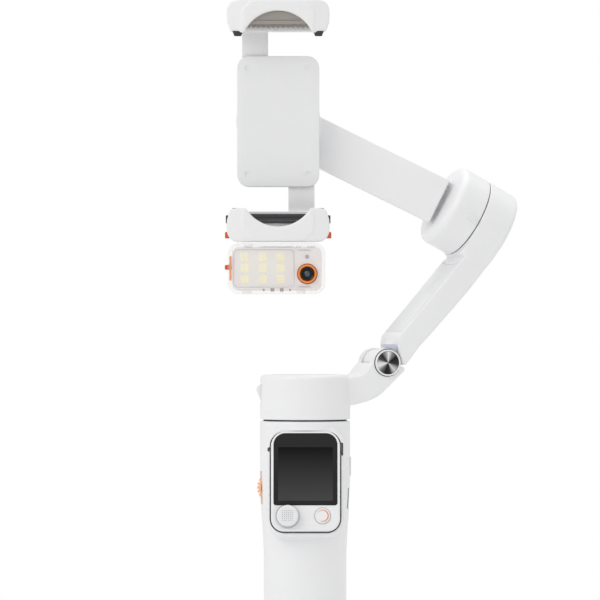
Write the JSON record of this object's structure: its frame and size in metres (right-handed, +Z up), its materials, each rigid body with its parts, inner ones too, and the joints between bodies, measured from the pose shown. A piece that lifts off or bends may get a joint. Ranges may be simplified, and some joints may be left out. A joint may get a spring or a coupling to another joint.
{
  "type": "gimbal stabilizer",
  "caption": "Handheld folding three-axis phone gimbal with spring-grip clamp, angled motor arm, remote with screen, tripod base and clip-on light.",
  "frame": {"origin": "centre of the closed tripod's flat base, on the pan axis", "axes": "+Z up along the handle and the pan axis, +X to the user's right, +Y away from the user"},
  "size_m": [0.1216, 0.0705, 0.3232],
  "materials": {
    "shell": "satin white moulded plastic",
    "satin": "fine matte white moulded plastic",
    "steel": "brushed",
    "rod": "anodised satin",
    "motor": "lacquered copper windings",
    "dark_rubber": "matte",
    "warm_rubber": "matte ribbed",
    "orange": "satin",
    "red_orange": "satin",
    "black_glass": "gloss black",
    "clear": "clear polycarbonate",
    "led": "phosphor yellow light panel",
    "board": "solder mask",
    "battery": "shrink sleeve"
  },
  "bodies": {
    "handle": {"tripod_hub": "satin", "tripod_pin_1": "steel", "tripod_pin_2": "steel", "tripod_pin_3": "steel", "rod_sleeve": "rod", "handle_front_shell": "shell", "handle_rear_shell": "shell", "battery_pack": "battery", "main_board": "board", "charging_socket": "steel", "port_flap": "satin", "wheel_axle": "steel", "trigger_pin": "steel"},
    "leg_1": {"tripod_leg_1": "shell"},
    "leg_2": {"tripod_leg_2": "shell"},
    "leg_3": {"tripod_leg_3": "shell"},
    "rod_1": {"rod_stage_1": "rod"},
    "rod_2": {"rod_stage_2": "rod"},
    "rod_3": {"rod_stage_3": "rod", "pan_stator": "motor"},
    "zoom_wheel": {"zoom_wheel": "orange"},
    "power_button": {"power_button": "satin"},
    "trigger": {"trigger": "satin"},
    "remote": {"remote_shell": "shell", "remote_back": "satin", "screen_glass": "black_glass"},
    "joystick_yoke": {"joystick_yoke": "dark_rubber"},
    "joystick": {"joystick_cap": "satin"},
    "record_button": {"record_button": "shell"},
    "head": {"pan_rotor": "steel", "pan_arm": "shell", "head_cap": "satin", "fold_pin": "steel", "fold_cap_front": "steel", "fold_cap_rear": "steel"},
    "lock_tab": {"lock_tab": "satin"},
    "upper_arm": {"upper_arm": "shell", "arm_wiring_cover": "satin", "tilt_stator": "motor"},
    "tilt_arm": {"tilt_arm": "shell", "tilt_arm_cover": "satin", "tilt_rotor": "steel", "roll_stator": "motor"},
    "clamp": {"roll_rotor": "steel", "clamp_body": "shell", "clamp_cover": "satin"},
    "pinion": {"jaw_pinion": "satin"},
    "upper_jaw": {"upper_jaw": "shell", "upper_pad": "warm_rubber"},
    "lower_jaw": {"lower_jaw": "shell", "lower_pad": "dark_rubber", "jaw_cross_pin": "red_orange"},
    "light_module": {"module_case": "clear", "module_body": "satin", "led_board": "led", "camera_ring": "orange", "camera_lens": "black_glass", "magnet_plate": "steel"},
    "module_button": {"module_button": "red_orange"}
  },
  "joints": [
    {"name": "rod_stage_1_slide", "type": "slide", "parent": "handle", "child": "rod_1", "axis": [0, 0, 1], "range_m": [0, 0.06]},
    {"name": "rod_stage_2_slide", "type": "slide", "parent": "rod_1", "child": "rod_2", "axis": [0, 0, 1], "range_m": [0, 0.06]},
    {"name": "rod_stage_3_slide", "type": "slide", "parent": "rod_2", "child": "rod_3", "axis": [0, 0, 1], "range_m": [0, 0.06]},
    {"name": "pan", "type": "hinge", "parent": "rod_3", "child": "head", "pos_m": [0, 0, 0.16], "axis": [0, 0, 1], "continuous": true},
    {"name": "fold", "type": "hinge", "parent": "head", "child": "upper_arm", "pos_m": [0.03043, 0.00989, 0.1736], "axis": [0.309, -0.9511, 0], "range_deg": [0, 38]},
    {"name": "tilt", "type": "hinge", "parent": "upper_arm", "child": "tilt_arm", "pos_m": [0.06791, 0.02206, 0.2338], "axis": [-0.8413, -0.2734, 0.4664], "range_deg": [-150, 150]},
    {"name": "roll", "type": "hinge", "parent": "tilt_arm", "child": "clamp", "pos_m": [-0.0111, 0.0093, 0.2733], "axis": [0, 1, 0], "range_deg": [-150, 150]},
    {"name": "upper_jaw_slide", "type": "slide", "parent": "clamp", "child": "upper_jaw", "axis": [0, 0, 1], "range_m": [-0.0095, 0.0105]},
    {"name": "lower_jaw_slide", "type": "slide", "parent": "clamp", "child": "lower_jaw", "axis": [0, 0, -1], "range_m": [-0.0095, 0.0105]},
    {"name": "pinion_turn", "type": "hinge", "parent": "clamp", "child": "pinion", "pos_m": [-0.0111, 0.0046, 0.2733], "axis": [0, 1, 0], "range_deg": [-151.2, 167.2]},
    {"name": "module_release", "type": "slide", "parent": "lower_jaw", "child": "light_module", "axis": [0, 0, -1], "range_m": [0, 0.012]},
    {"name": "module_button_press", "type": "slide", "parent": "light_module", "child": "module_button", "axis": [1, 0, 0], "range_m": [0, 0.0005], "stiffness_N_per_m": 400, "springref_m": -0.0005},
    {"name": "remote_release", "type": "slide", "parent": "handle", "child": "remote", "axis": [0, -0.9903, 0.1392], "range_m": [0, 0.012]},
    {"name": "joystick_up_down", "type": "hinge", "parent": "remote", "child": "joystick_yoke", "pos_m": [-0.0073, -0.01941, 0.11046], "axis": [1, 0, 0], "range_deg": [-8, 8], "stiffness_Nm_per_rad": 0.05},
    {"name": "joystick_left_right", "type": "hinge", "parent": "joystick_yoke", "child": "joystick", "pos_m": [-0.0073, -0.01941, 0.11046], "axis": [0, 0.1392, 0.9903], "range_deg": [-8, 8], "stiffness_Nm_per_rad": 0.05},
    {"name": "record_button_press", "type": "slide", "parent": "remote", "child": "record_button", "axis": [0, 0.9903, -0.1392], "range_m": [0, 0.0005], "stiffness_N_per_m": 400, "springref_m": -0.0005},
    {"name": "zoom_wheel_turn", "type": "hinge", "parent": "handle", "child": "zoom_wheel", "pos_m": [-0.0133, -0.0031, 0.1222], "axis": [0, 1, 0], "continuous": true},
    {"name": "power_button_press", "type": "slide", "parent": "handle", "child": "power_button", "axis": [-1, 0, 0], "range_m": [0, 0.0004], "stiffness_N_per_m": 500, "springref_m": -0.0005},
    {"name": "trigger_pull", "type": "hinge", "parent": "handle", "child": "trigger", "pos_m": [0, 0.02, 0.1385], "axis": [-1, 0, 0], "range_deg": [0, 5], "stiffness_Nm_per_rad": 0.05, "springref_deg": -5.73},
    {"name": "lock_tab_slide", "type": "slide", "parent": "head", "child": "lock_tab", "axis": [0, 1, 0], "range_m": [0, 0.003]},
    {"name": "leg_1_open", "type": "hinge", "parent": "handle", "child": "leg_1", "pos_m": [0, -0.014, 0.0605], "axis": [-1, 0, 0], "range_deg": [0, 52]},
    {"name": "leg_2_open", "type": "hinge", "parent": "handle", "child": "leg_2", "pos_m": [0.01212, 0.007, 0.0605], "axis": [0.5, -0.866, 0], "range_deg": [0, 52]},
    {"name": "leg_3_open", "type": "hinge", "parent": "handle", "child": "leg_3", "pos_m": [-0.01212, 0.007, 0.0605], "axis": [0.5, 0.866, 0], "range_deg": [0, 52]}
  ],
  "couplings": [
    {"joint": "lower_jaw_slide", "follows": "upper_jaw_slide", "ratio": 1},
    {"joint": "pinion_turn", "follows": "upper_jaw_slide", "rad_per_m": 250}
  ]
}
